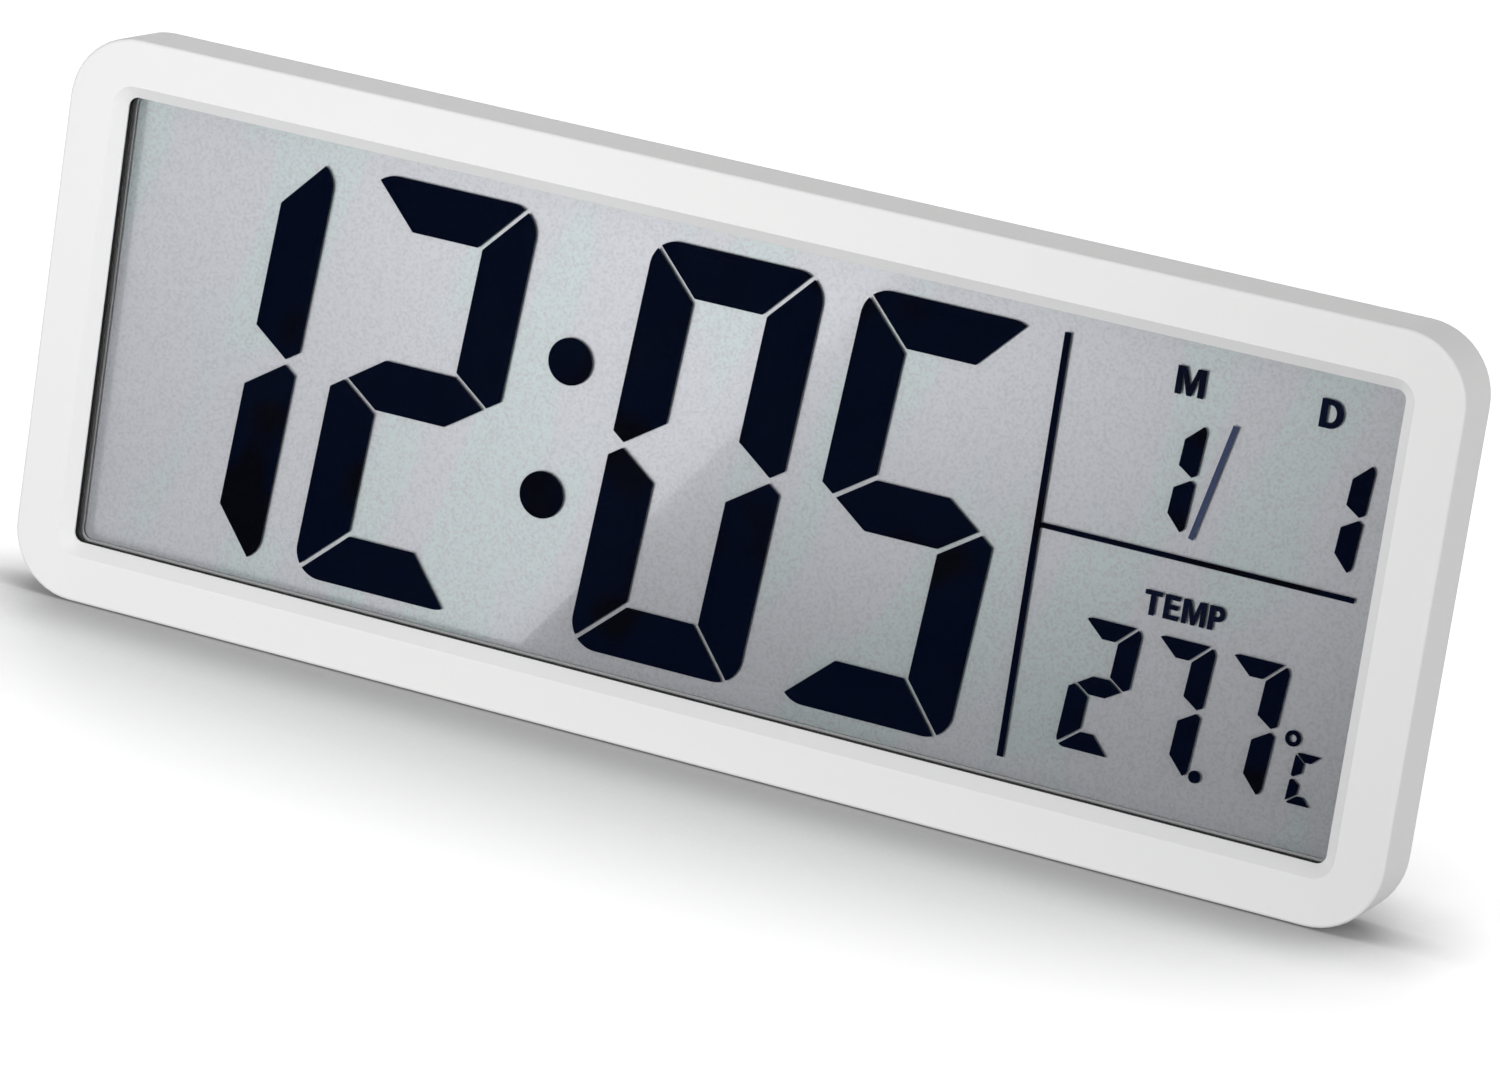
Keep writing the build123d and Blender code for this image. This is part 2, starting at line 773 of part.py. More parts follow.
with BuildPart() as crystal_can:
    can_depth = board_rear + layer_gap + can_radius
    can_end = can_place[0] + can_length / 2
    rod(*can_place, can_depth, can_radius, can_length)
    for way in (-1, 1):
        lead_z = can_place[1] + way * can_lead_pitch / 2
        lead_size = (can_lead_reach + overrun, can_lead)
        lead_centre = (can_end + (can_lead_reach - overrun) / 2, lead_z)
        block(can_depth - can_lead / 2, can_depth + can_lead / 2, lead_size, lead_centre)
        foot_centre = (can_end + can_lead_reach - can_lead / 2, lead_z)
        block(board_rear, can_depth, (can_lead, can_lead), foot_centre)
write(crystal_can, "crystal_can")

with BuildPart() as thermistor:
    with Locations(point(*bead_place, board_rear + bead_rise)):
        Sphere(bead_radius)
    bead_feet = [(bead_place[0] + way * bead_lead_pitch / 2, bead_place[1]) for way in (-1, 1)]
    discs(board_rear, board_rear + bead_rise, bead_lead_radius, bead_feet)
write(thermistor, "thermistor")

with BuildPart() as ceramic_capacitors:
    capacitor_size = (capacitor_length, capacitor_width)
    capacitor_rear = board_rear + capacitor_height
    for shift in (-1, 0, 1):
        capacitor_centre = (capacitor_place[0] + shift * capacitor_pitch, capacitor_place[1])
        slab(board_rear, capacitor_rear, capacitor_size, capacitor_corner, capacitor_centre)
write(ceramic_capacitors, "ceramic_capacitors")

# Push buttons: a cap through the cover, a flange behind it and a stem in the switch
for button_name, place in zip(button_names, button_places):
    with BuildPart() as button:
        with BuildSketch(across(side_depth + cap_rise)):
            with Locations(place):
                SlotOverall(cap_width, cap_height)
        extrude(amount=side_depth + cap_rise - flange_front)
        fillet(button.edges().group_by(Axis.Y)[-1], radius=cap_edge_radius)
        with BuildSketch(across(flange_front + flange_thickness)):
            with Locations(place):
                SlotOverall(cap_width + 2 * flange_lap, cap_height + 2 * flange_lap)
        extrude(amount=flange_thickness)
        discs(switch_rear - stem_dip, flange_front, stem_radius, [place])
    write(button, button_name)


# Battery cells
def cell(start, way, z):
    """Builds a cell from its flat end, along X one way or the other."""
    radius = cell_diameter / 2
    shoulder = cell_length - nub_rise
    profile = [
        (0, 0),
        (0, cell_foot_radius),
        (cell_foot_rise, cell_foot_radius),
        (cell_foot_rise, radius - cell_crimp),
        (cell_foot_rise + cell_crimp, radius),
        (shoulder - cell_crimp, radius),
        (shoulder, radius - cell_crimp),
        (shoulder, nub_radius),
        (cell_length, nub_radius),
        (cell_length, 0),
    ]
    with BuildPart() as can:
        with BuildSketch(level_plane(start, z, cell_depth, way)) as half:
            outline(profile)
        revolve(half.sketch, axis=Axis(point(start, z, cell_depth), (1, 0, 0)))
    return can


write(cell(left_face + spring_length, 1, upper_z), "cell_upper")
write(cell(right_face - spring_length, -1, lower_z), "cell_lower")


# Battery contacts
def contact(face, way, places):
    """Adds a contact plate behind a face, its metal on the way side, high enough for its places."""
    tall = max(places) - min(places) + contact_size
    centre = (face + way * contact_thickness / 2, (max(places) + min(places)) / 2)
    block(contact_front, contact_rear, (contact_thickness, tall), centre)


def dimple(face, way, z):
    """Adds the pressed dimple that meets a cell's nub, standing out from a face."""
    rod(face + way * dimple_rise / 2, z, cell_depth, dimple_radius, dimple_rise)


def tail(z):
    """Adds the solder tail that leaves the well through a slot in its end wall."""
    tail_length = left_face - contact_thickness / 2 - tail_end
    block(contact_front, tail_rear, (tail_length, tail_width), (tail_end + tail_length / 2, z))


with BuildPart() as spring_plate:
    contact(left_face, -1, [upper_z])
    tail(upper_z)
write(spring_plate, "spring_plate")

with BuildPart() as button_plate:
    contact(left_face, -1, [lower_z])
    dimple(left_face, 1, lower_z)
    tail(lower_z)
write(button_plate, "button_plate")

with BuildPart() as bridge_plate:
    contact(right_face, 1, [lower_z, upper_z])
    dimple(right_face, -1, upper_z)
write(bridge_plate, "bridge_plate")

# Coil springs: a cone of turns from the plate to the cell, drawn as pairs of arcs
gap_samples = 200
coil_rise = spring_length - 2 * (wire_radius + layer_gap)


def coil_point(share, start, way, z):
    """Point and direction of the spring's wire, from 0 at its plate to 1 at the cell."""
    turn = 2 * pi * coil_turns * share
    shrink = coil_tip_radius - coil_base_radius
    radius = coil_base_radius + shrink * share
    spin = 2 * pi * coil_turns * radius
    x = start + way * (wire_radius + layer_gap + coil_rise * share)
    spot = point(x, z + radius * sin(turn), cell_depth + radius * cos(turn))
    back = shrink * cos(turn) - spin * sin(turn)
    up = shrink * sin(turn) + spin * cos(turn)
    return spot, Vector(way * coil_rise, back, up).normalized()


def arc_pair(start, start_way, end, end_way):
    """Joint and its direction for two arcs that leave and arrive along the given directions."""
    chord = end - start
    both = start_way + end_way
    bend = 2 * (1 - start_way.dot(end_way))
    reach = (sqrt(chord.dot(both) ** 2 + bend * chord.dot(chord)) - chord.dot(both)) / bend
    near, far = start + start_way * reach, end - end_way * reach
    return (near + far) / 2, (far - near).normalized()


def least_coil_gap():
    """Least free space between neighbouring turns, measured on points over half a turn apart."""
    spots = [coil_point(i / gap_samples, 0, 1, 0)[0] for i in range(gap_samples + 1)]
    apart = gap_samples / coil_turns
    pairs = [(a, b) for i, a in enumerate(spots) for b in spots[int(i + apart / 2) :]]
    return min((a - b).length for a, b in pairs) - 2 * wire_radius


with BuildPart() as battery_springs:
    for start, way, z in ((left_face, 1, upper_z), (right_face, -1, lower_z)):
        with BuildLine() as wire:
            for step in range(coil_steps):
                spot, heading = coil_point(step / coil_steps, start, way, z)
                next_spot, next_heading = coil_point((step + 1) / coil_steps, start, way, z)
                joint, joint_heading = arc_pair(spot, heading, next_spot, next_heading)
                TangentArc(spot, joint, tangent=heading)
                TangentArc(joint, next_spot, tangent=joint_heading)
        spot, heading = coil_point(0, start, way, z)
        with BuildSketch(Plane(origin=spot, z_dir=heading)):
            Circle(wire_radius)
        sweep(path=wire.line)
write(battery_springs, "battery_springs")
print(f"least gap between the spring's turns: {least_coil_gap():.2f} mm")

# Two leads from the contact tails up to the board, soldered at both ends
lead_tail_depth = tail_rear + lead_radius + layer_gap
lead_board_depth = board_rear + lead_radius + layer_gap
lead_end_z = board_low + lead_lap


def bend_radii(route):
    """Radius of each bend of a route, as large as the runs on its two sides allow."""
    runs = [end - start for start, end in zip(route, route[1:])]
    turns = [radians(run.get_angle(after)) for run, after in zip(runs, runs[1:])]
    shorter = [min(run.length, after.length) for run, after in zip(runs, runs[1:])]
    return [bend_share * length / tan(turn / 2) for length, turn in zip(shorter, turns)]


def lead(start_z, out_x, name):
    """Builds and writes a lead that rises from a tail, bows out and comes down on the board."""
    run = lead_end_z - start_z
    route = [
        point(tail_end + lead_radius + layer_gap, start_z, lead_tail_depth),
        point(out_x, start_z + run / 3, lead_board_depth + lead_rise),
        point(out_x - lead_spread, start_z + run * 2 / 3, lead_board_depth + lead_rise),
        point(out_x, lead_end_z, lead_board_depth),
    ]
    radii = bend_radii(route)
    with BuildPart() as cord:
        with BuildLine() as path:
            FilletPolyline(*route, radius=radii)
        with BuildSketch(Plane(origin=path.line @ 0, z_dir=path.line % 0)) as section:
            Circle(lead_radius)
        sweep(section.sketch, path=path.line)
    length = sum(edge.length for edge in path.edges())
    tube = section.sketch.area * length
    print(f"{name}: bends of {', '.join(f'{radius:.0f}' for radius in radii)} mm,", end=" ")
    print(f"{length:.0f} mm long, volume {cord.part.volume:.2f} against {tube:.2f} mm3")
    write(cord, name)


lead(upper_z, tail_end, "lead_minus")
lead(lower_z, tail_end - 2 * lead_spread, "lead_plus")

# Stand
with BuildPart() as stand_leg:
    with BuildSketch(across(stand_rear)) as leg_face:
        top_corners = [(way * stand_width / 2, stand_z + stand_heel) for way in (-1, 1)]
        foot_corners = [(way * stand_foot_width / 2, stand_foot) for way in (1, -1)]
        outline(top_corners + foot_corners)
        fillet(leg_face.vertices().group_by(Axis.Y)[0], radius=stand_corner)
    extrude(amount=stand_thickness)
    foot_edges = stand_leg.edges().filter_by(Axis.X).group_by(Axis.Z)[0]
    fillet(foot_edges, radius=stand_foot_radius)
    pocket_low = stand_foot + stand_corner
    pocket_high = stand_z - 2 * stand_thickness
    ribs_width = (stand_pockets + 1) * stand_rib
    rib_pocket_width = (stand_foot_width - ribs_width) / stand_pockets
    rib_pocket_size = (rib_pocket_width, pocket_high - pocket_low)
    for column in range(stand_pockets):
        shift = column - (stand_pockets - 1) / 2
        pocket_centre = (shift * (rib_pocket_width + stand_rib), (pocket_low + pocket_high) / 2)
        block(stand_front, stand_front + stand_pocket_depth, rib_pocket_size, pocket_centre, Mode.SUBTRACT)
    rod(0, stand_z, stand_depth, pin_radius + pin_play, stand_width + overrun, Mode.SUBTRACT)
write(stand_leg, "stand_leg")

with BuildPart() as stand_pin:
    rod(0, stand_z, stand_depth, pin_radius, recess_width + 2 * pin_seat)
write(stand_pin, "stand_pin")

# Battery door
with BuildPart() as battery_door:
    slab(door_front, depth, (door_width, door_height), door_corner, (battery_x, battery_z))
    for x in tab_places:
        tab_height = tab_reach + door_lap
        block(tab_front, tab_rear, (tab_width, tab_height), (x, door_low - tab_reach + tab_height / 2))
        block(tab_front, door_front, (tab_width, door_lap), (x, door_low + door_lap / 2))
    tongue_size = (tongue_width, tongue_reach + door_corner)
    tongue_centre = (battery_x, door_high + (tongue_reach - door_corner) / 2)
    block(depth - tongue_thickness, depth, tongue_size, tongue_centre)
    for row in range(groove_count):
        groove_centre = (battery_x, door_high - (row + 1) * groove_pitch)
        block(depth - groove_depth, depth, (groove_length, groove_width), groove_centre, Mode.SUBTRACT)
write(battery_door, "battery_door")

# Back cover: its hollow is made first, less the walls round the stand, the door and the well
surround_size = (surround_width, surround_high - surround_low)
surround_centre = (battery_x, (surround_low + surround_high) / 2)
recess_height = recess_top - hump_low + overrun
recess_centre = (0, recess_top - recess_height / 2)
hump_inset = hump_wall / cos(radians(hump_draft))
hump_inner = (hump_width - 2 * hump_inset, hump_height - 2 * hump_inset)

with BuildPart() as cover_hollow:
    with BuildSketch(across(side_depth)):
        with Locations(hump_middle):
            RectangleRounded(*hump_inner, hump_corner - hump_inset)
    extrude(amount=hump_wall - hump_rise, taper=hump_draft)
    slab(cover_front, side_depth, hump_inner, hump_corner - hump_inset, hump_middle)
    island_size = (recess_width + 2 * hump_wall, recess_height + 2 * hump_wall)
    block(recess_floor - hump_wall, depth, island_size, recess_centre, Mode.SUBTRACT)
    block(door_front - ledge_thickness, depth, surround_size, surround_centre, Mode.SUBTRACT)
    block(cover_front, depth, well_outer, (battery_x, battery_z), Mode.SUBTRACT)

with BuildPart() as back_cover:
    plate_size = (cavity_width + 2 * (rabbet - fit_play), cavity_height + 2 * (rabbet - fit_play))
    slab(cover_front, side_depth, plate_size, cavity_corner + rabbet - fit_play, (0, middle))
    with BuildSketch(across(side_depth)):
        with Locations(hump_middle):
            RectangleRounded(hump_width, hump_height, hump_corner)
    extrude(amount=-hump_rise, taper=hump_draft)
    fillet(back_cover.edges().group_by(Axis.Y)[-1], radius=hump_edge_radius)
    add(cover_hollow.part, mode=Mode.SUBTRACT)
    block(well_front, cover_front, well_outer, (battery_x, battery_z))
    block(well_front + well_floor, depth, (well_length, well_height), (battery_x, battery_z), Mode.SUBTRACT)
    for z in (lower_z, upper_z):
        slot_size = (well_wall + overrun, tail_width + 2 * fit_play)
        slot_centre = (well_left - (well_wall - overrun) / 2, z)
        block(contact_front - fit_play, tail_rear + fit_play, slot_size, slot_centre, Mode.SUBTRACT)
    door_hole = (door_width + 2 * door_play, door_height + 2 * door_play)
    slab(door_front, depth, door_hole, door_corner + door_play, (battery_x, battery_z), Mode.SUBTRACT)
    for x in tab_places:
        swing = hypot(tab_reach, depth - tab_front) + tab_play
        notch_height = tab_reach + tab_play + door_lap
        notch_centre = (x, door_low - tab_reach - tab_play + notch_height / 2)
        notch_size = (tab_width + 2 * tab_play, notch_height)
        block(depth - swing, door_front, notch_size, notch_centre, Mode.SUBTRACT)
    scoop_centre = (battery_x, door_high + scoop_height / 2)
    block(depth - scoop_depth, depth, (scoop_width, scoop_height), scoop_centre, Mode.SUBTRACT)
    block(recess_floor, depth, (recess_width, recess_height), recess_centre, Mode.SUBTRACT)
    pin_hole_length = recess_width + 2 * (pin_seat + layer_gap)
    rod(0, stand_z, stand_depth, pin_radius + layer_gap, pin_hole_length, Mode.SUBTRACT)
    for way in (-1, 1):
        entry = (way * keyhole_x, keyhole_z)
        slot_top = (way * keyhole_x, keyhole_z + keyhole_rise)
        discs(depth - hump_wall, depth, keyhole_radius, [entry], Mode.SUBTRACT)
        discs(depth - hump_wall, depth, keyhole_slot_radius, [slot_top], Mode.SUBTRACT)
        keyhole_slot = (2 * keyhole_slot_radius, keyhole_rise)
        slot_middle = (way * keyhole_x, keyhole_z + keyhole_rise / 2)
        block(depth - hump_wall, depth, keyhole_slot, slot_middle, Mode.SUBTRACT)
    with BuildSketch(across(side_depth)):
        with Locations(button_places):
            SlotOverall(cap_width + 2 * cap_play, cap_height + 2 * cap_play)
        with Locations(bead_place):
            with GridLocations(vent_pitch, vent_height, vent_count, 1):
                SlotOverall(vent_height, vent_width, rotation=90)
    extrude(amount=cover_thickness, mode=Mode.SUBTRACT)
    discs(spacer_front, cover_front, screw_inset - fit_play, case_screw_places)
    discs(spacer_front, side_depth, screw_clear_radius, case_screw_places, Mode.SUBTRACT)
    discs(case_seat, side_depth, head_recess_radius, case_screw_places, Mode.SUBTRACT)
write(back_cover, "back_cover")
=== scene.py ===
# %% [markdown]
# # A digital wall clock, dressed for a studio picture
# The clock arrives as a packed construction model: every piece is a mesh in metres, in one shared frame.
# X runs to the viewer's right, Y runs from the display towards the wall and Z is up.
# This lesson keeps those shapes and gives them finishes, adds the small printed words
# and sets a studio round them.

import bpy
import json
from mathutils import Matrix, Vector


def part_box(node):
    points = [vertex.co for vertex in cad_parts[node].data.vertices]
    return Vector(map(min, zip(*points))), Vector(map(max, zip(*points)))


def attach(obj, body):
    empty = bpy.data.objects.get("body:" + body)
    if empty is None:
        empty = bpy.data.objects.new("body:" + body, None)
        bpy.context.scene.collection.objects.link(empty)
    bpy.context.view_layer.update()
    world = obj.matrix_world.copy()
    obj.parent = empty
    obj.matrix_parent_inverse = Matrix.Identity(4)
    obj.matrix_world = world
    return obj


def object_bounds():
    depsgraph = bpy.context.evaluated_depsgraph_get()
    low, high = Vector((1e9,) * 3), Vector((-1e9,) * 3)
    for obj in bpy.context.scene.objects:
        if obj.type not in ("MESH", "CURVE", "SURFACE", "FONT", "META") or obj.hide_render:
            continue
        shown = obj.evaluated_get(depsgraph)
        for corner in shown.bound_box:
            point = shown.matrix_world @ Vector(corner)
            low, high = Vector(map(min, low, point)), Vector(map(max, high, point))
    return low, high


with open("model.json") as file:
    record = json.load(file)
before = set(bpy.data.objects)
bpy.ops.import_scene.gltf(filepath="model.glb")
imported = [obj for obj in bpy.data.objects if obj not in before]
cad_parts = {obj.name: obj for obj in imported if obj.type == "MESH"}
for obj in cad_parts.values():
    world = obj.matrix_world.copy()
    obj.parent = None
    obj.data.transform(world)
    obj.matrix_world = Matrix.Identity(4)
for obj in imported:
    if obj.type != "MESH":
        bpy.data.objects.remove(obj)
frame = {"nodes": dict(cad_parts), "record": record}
cad_box = [list(corner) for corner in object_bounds()]

import json

import bpy
import numpy as np
from mathutils import Matrix

nodes = frame["nodes"]
slot_of = {part["node"]: part["material_slot"] for part in frame["record"]["subparts"]}
print(len(nodes), "pieces, box in mm:", np.round(np.array(cad_box) * 1000, 2).tolist())

# %% [markdown]
# ## Camera
# The picture is taken from the right and a little above, with a long lens. The camera is tilted about
# its own axis, which is why the level clock seems to run downhill. The four corners of the face fix
# all of this: the place and the aim in metres, the roll, and the lens in pixels of the photograph.
# A camera in Blender looks along its own -Z with +Y up, so the columns of its matrix are
# the right, up and backward directions and its place. Writing them down is surer than turning it by angles.

# %% Camera
camera_place = np.array([0.5903, -1.4283, 0.41875])
camera_aim = np.array([0.01415, -0.01352, 0.05620])
camera_roll = np.radians(8.651)
picture_width, focal_pixels = 1500, 6690.6
sensor = 36.0


def unit(vector):
    """A direction of length one: the vector over its own length."""
    return vector / np.linalg.norm(vector)


forward = unit(camera_aim - camera_place)
level = unit(np.cross(forward, [0, 0, 1]))
right = np.cos(camera_roll) * level + np.sin(camera_roll) * np.cross(level, forward)
pose = np.eye(4)
pose[:3, :4] = np.column_stack([right, np.cross(right, forward), -forward, camera_place])

camera = bpy.data.objects.new("camera", bpy.data.cameras.new("camera"))
camera.data.sensor_width = sensor
camera.data.sensor_fit = "HORIZONTAL"
camera.data.lens = focal_pixels / picture_width * sensor
camera.matrix_world = Matrix(pose.tolist())
bpy.context.scene.collection.objects.link(camera)
bpy.context.scene.camera = camera
distance = float(np.linalg.norm(camera_aim - camera_place))
print("lens", round(camera.data.lens, 1), "mm, distance", round(distance, 3), "m")

# %% [markdown]
# ## A small language for finishes
# A finish is a graph of nodes. Wiring it by hand is slow to read, so one small class wraps a node's output.
# Plus, minus and times on it add Math nodes, mix blends two colours, and node adds any other kind of node.

# %% Shader helper


class Shade:
    """An output of a finish's node graph. Arithmetic on it adds Math nodes."""

    def __init__(self, socket):
        self.socket = socket
        self.tree = socket.id_data

    def node(self, kind, settings, sockets, out=0):
        """Adds a node of a kind, sets its settings, then the values or links of its sockets."""
        made = self.tree.nodes.new(kind)
        for name, value in settings.items():
            setattr(made, name, value)
        for name, value in sockets.items():
            plug(made.inputs[name], value)
        return Shade(made.outputs[out])

    def math(self, operation, first, second):
        """One Math node on two values."""
        return self.node("ShaderNodeMath", {"operation": operation}, {0: first, 1: second})

    def mix(self, low, high):
        """Colour that goes from low to high as this value goes from 0 to 1."""
        return self.node("ShaderNodeMix", {"data_type": "RGBA"}, {0: self, 6: low, 7: high}, 2)

    def between(self, low, high):
        """Number that goes from low to high as this value goes from 0 to 1."""
        return low + self * (high - low)

    def noise(self, size, detail=2.0):
        """Cloudy value from 0 to 1 on this vector, its lumps about size metres across."""
        return self.node("ShaderNodeTexNoise", {}, {"Vector": self, "Scale": 1 / size, "Detail": detail})

    def steps(self, low, high):
        """0 below low, 1 above high and a smooth rise between."""
        settings = {"interpolation_type": "SMOOTHSTEP"}
        return self.node("ShaderNodeMapRange", settings, {"Value": self, "From Min": low, "From Max": high})

    def axis(self, letter):
        """One coordinate of this vector."""
        return self.node("ShaderNodeSeparateXYZ", {}, {0: self}, "XYZ".index(letter))

    def bump(self, depth, strength=1.0):
        """Normal of a surface raised by this value times depth metres."""
        return self.node("ShaderNodeBump", {}, {"Strength": strength, "Distance": depth, "Height": self})

    def __add__(self, other):
        return self.math("ADD", self, other)

    def __sub__(self, other):
        return self.math("SUBTRACT", self, other)

    def __rsub__(self, other):
        return self.math("SUBTRACT", other, self)

    def __mul__(self, other):
        return self.math("MULTIPLY", self, other)

    __radd__ = __add__
    __rmul__ = __mul__


# %% Helpers for a finish


def plug(socket, value):
    """Links a Shade to a socket, or sets a plain value on it."""
    if isinstance(value, Shade):
        socket.id_data.links.new(value.socket, socket)
    else:
        socket.default_value = value


def new_finish(name):
    """A new material: itself, its Principled shader and the place on the object, in metres."""
    material = bpy.data.materials.new(name)
    material.use_nodes = True
    tree = material.node_tree
    place = Shade(tree.nodes.new("ShaderNodeTexCoord").outputs["Object"])
    return material, tree.nodes["Principled BSDF"], place


def dress(shader, **sockets):
    """Sets or links sockets of a shader; an underscore in a name stands for a space."""
    for name, value in sockets.items():
        plug(shader.inputs[name.replace("_", " ")], value)


def grey(level, warm=0.0):
    """A colour near grey; warm above zero leans it to yellow, below zero to blue."""
    return (level * (1 + warm), level, level * (1 - warm), 1.0)


finish = {}

# %% [markdown]
# ## White mouldings
# The case, its back cover, the battery door, the stand and the carrier inside are white injection mouldings.
# The front comes from a finely eroded tool and has a soft satin gloss. The parts at the back come from
# a coarser one and are matt. The pits are too small to model, so they are a bump in the finish.
# One function makes all of them: the pits also change the roughness, and a slow drift of tone
# keeps large faces from looking flat.

# %% White mouldings
drift_size = 0.09
darker = 0.985


def moulding(name, tone, roughness, grain, pit):
    """White plastic whose pits are about grain metres across and pit metres deep."""
    material, shader, place = new_finish(name)
    pits = place.noise(grain, detail=3.0)
    drift = place.noise(drift_size)
    dress(
        shader,
        Base_Color=drift.mix(grey(tone * darker, warm=0.004), grey(tone, warm=-0.002)),
        Roughness=pits.between(roughness - 0.05, roughness + 0.05),
        Specular_IOR_Level=0.25,
        Normal=pits.bump(pit, strength=0.5),
    )
    finish[name] = material


moulding("case_white", tone=0.80, roughness=0.5, grain=0.0005, pit=0.000012)
moulding("cover_white", tone=0.77, roughness=0.58, grain=0.0008, pit=0.00004)
moulding("door_white", tone=0.78, roughness=0.55, grain=0.0007, pit=0.00004)
moulding("stand_white", tone=0.76, roughness=0.56, grain=0.0008, pit=0.00004)
moulding("carrier_white", tone=0.72, roughness=0.60, grain=0.0010, pit=0.00003)
print("white mouldings:", len(finish))

# %% [markdown]
# ## The display's clear layers
# The pane, the polarising film and two glass plates lie in front of the figures or round them,
# bonded and coated so that they hardly mirror.
# Glass that bends light would leave its shadow on the layers below, so each layer is mostly a Transparent
# shader, with a small share of a glossy one for the faint bloom on it.
# Eight faces in a row need more see-through steps than the usual eight.

# %% Clear layers
see_through_steps = 32
haze_size = 0.03


def clear_layer(name, tint, bloom):
    """A clear plate: tint passes through each face, and a bloom of this share lies on it."""
    material, shader, place = new_finish(name)
    haze = place.noise(haze_size, detail=3.0)
    dress(shader, Base_Color=haze.mix(grey(0.1), grey(0.14)), Roughness=0.12)
    open_face = place.node("ShaderNodeBsdfTransparent", {}, {"Color": tint})
    glossy_face = Shade(shader.outputs[0])
    face = place.node("ShaderNodeMixShader", {}, {0: haze * bloom, 1: open_face, 2: glossy_face})
    plug(material.node_tree.nodes["Material Output"].inputs["Surface"], face)
    finish[name] = material
    print("clear layer:", name)


clear_layer("window_clear", tint=(0.996, 0.996, 0.997, 1), bloom=0.004)
clear_layer("film_clear", tint=(0.986, 0.987, 0.988, 1), bloom=0.002)
clear_layer("cell_glass", tint=(0.994, 0.995, 0.996, 1), bloom=0.002)
bpy.context.scene.cycles.transparent_max_bounces = see_through_steps

# %% [markdown]
# ## Ground of the display
# The ground of such a display is a pearly film: grey with a fine grain, hints of green and blue,
# and a clear gloss on top. A half metallic shader under a strong coat gives both the grey of the film
# and the mirror image on it. The tints are noise on a stretched and leaning place, so they run
# in tall bands.

# %% Ground of the display
grain_size = 0.0006
band_size, band_lean, band_stretch = 0.026, 0.22, 0.3
dull_grey = (0.59, 0.60, 0.625, 1)
bluish, greenish = (0.69, 0.70, 0.735, 1), (0.65, 0.74, 0.735, 1)

material, shader, place = new_finish("reflector_grey")
grain = place.noise(grain_size)
leaning = place.axis("X") - place.axis("Z") * band_lean
banded = place.node("ShaderNodeCombineXYZ", {}, {0: leaning, 2: place.axis("Z") * band_stretch})
pearl = banded.noise(band_size, detail=1.0).steps(0.5, 0.57).mix(bluish, greenish)
dress(
    shader,
    Base_Color=grain.steps(0.3, 0.6).mix(dull_grey, pearl),
    Metallic=0.5,
    Roughness=grain.between(0.28, 0.38),
    Coat_Weight=1.0,
    Coat_IOR=2.1,
    Coat_Roughness=0.02,
)
finish["reflector_grey"] = material
print("ground:", material.name, "with", len(material.node_tree.nodes), "nodes")

# %% [markdown]
# ## Figures
# The figures are inked liquid crystal, a blue that is nearly black, and they lie a glass plate in front of
# the ground, so their shadows fall on it a little to one side. The slash of the date is paler than the rest.
# It belongs to the same piece as the date's figures, so its tone is chosen by the distance
# from its middle line.

# %% Figures
patch_size = 0.022
pale_ink = (0.045, 0.06, 0.115, 1)
deep_ink = (0.0009, 0.0026, 0.0105, 1), (0.0016, 0.0018, 0.004, 1)
label_ink = (0.0034, 0.006, 0.019, 1), (0.003, 0.0045, 0.013, 1)
slash_x, slash_z, slash_lean = 0.122025, 0.09455, 0.2252
slash_reach, slash_edge = 0.0014, 0.0001


def inked(name, blue, black, pale=None):
    """Ink from blue to black in patches. Where pale, a function of the place, is 1, it is a blue grey."""
    material, shader, place = new_finish(name)
    patch = place.noise(patch_size, detail=1.0)
    navy = patch.steps(0.55, 0.68).mix(blue, black)
    tone = pale(place).mix(navy, pale_ink) if pale else navy
    dress(shader, Base_Color=tone, Roughness=patch.between(0.3, 0.4), Specular_IOR_Level=0.0)
    return material


def along_slash(place):
    """1 within slash_reach of the slash's slanting middle line, measured along X, and 0 elsewhere."""
    away = place.axis("X") - slash_x - (place.axis("Z") - slash_z) * slash_lean
    return 1 - away.math("ABSOLUTE", away, 0.0).steps(slash_reach, slash_reach + slash_edge)


finish["segment_navy"] = inked("segment_navy", *deep_ink)
own_finish = {"date_digits": inked("date_ink", *deep_ink, along_slash)}
word_ink = inked("word_ink", *label_ink)
print("inks:", finish["segment_navy"].name, own_finish["date_digits"].name, word_ink.name)

# %% [markdown]
# ## Dark edges of the display
# Black foam and the grey seal of the glass cell show as thin lines at the edges of the opening.
# Both are matt and porous, so one function with a coarse bump makes them.

# %% Dark edges of the display
pore_depth = 0.00003


def dark_edge(name, tone, grain):
    """Matt dark foam or sealant with open pores about grain metres across."""
    material, shader, place = new_finish(name)
    pores = place.noise(grain, detail=3.0)
    dress(
        shader,
        Base_Color=pores.mix(grey(tone * 0.7), grey(tone * 1.3)),
        Roughness=pores.between(0.75, 0.9),
        Specular_IOR_Level=0.2,
        Normal=pores.bump(pore_depth),
    )
    finish[name] = material
    print("dark edge:", name)


dark_edge("gasket_black", tone=0.06, grain=0.0004)
dark_edge("seal_grey", tone=0.36, grain=0.0006)

# %% [markdown]
# ## Rubber and small parts
# The buttons at the back are grey silicone. Inside are small dark and tan parts and two thin leads,
# which hardly show while the back cover is on.
# Each is a finish between two close colours on a fine grain, so one function serves all of them.

# %% Rubber and small parts


def speckled(name, low, high, roughness, grain, pit):
    """A finish between two colours on a fine grain, with a bump of the same grain pit metres deep."""
    material, shader, place = new_finish(name)
    spots = place.noise(grain, detail=3.0)
    dress(
        shader,
        Base_Color=spots.mix(low, high),
        Roughness=spots.between(roughness - 0.06, roughness + 0.06),
        Normal=spots.bump(pit),
    )
    finish[name] = material


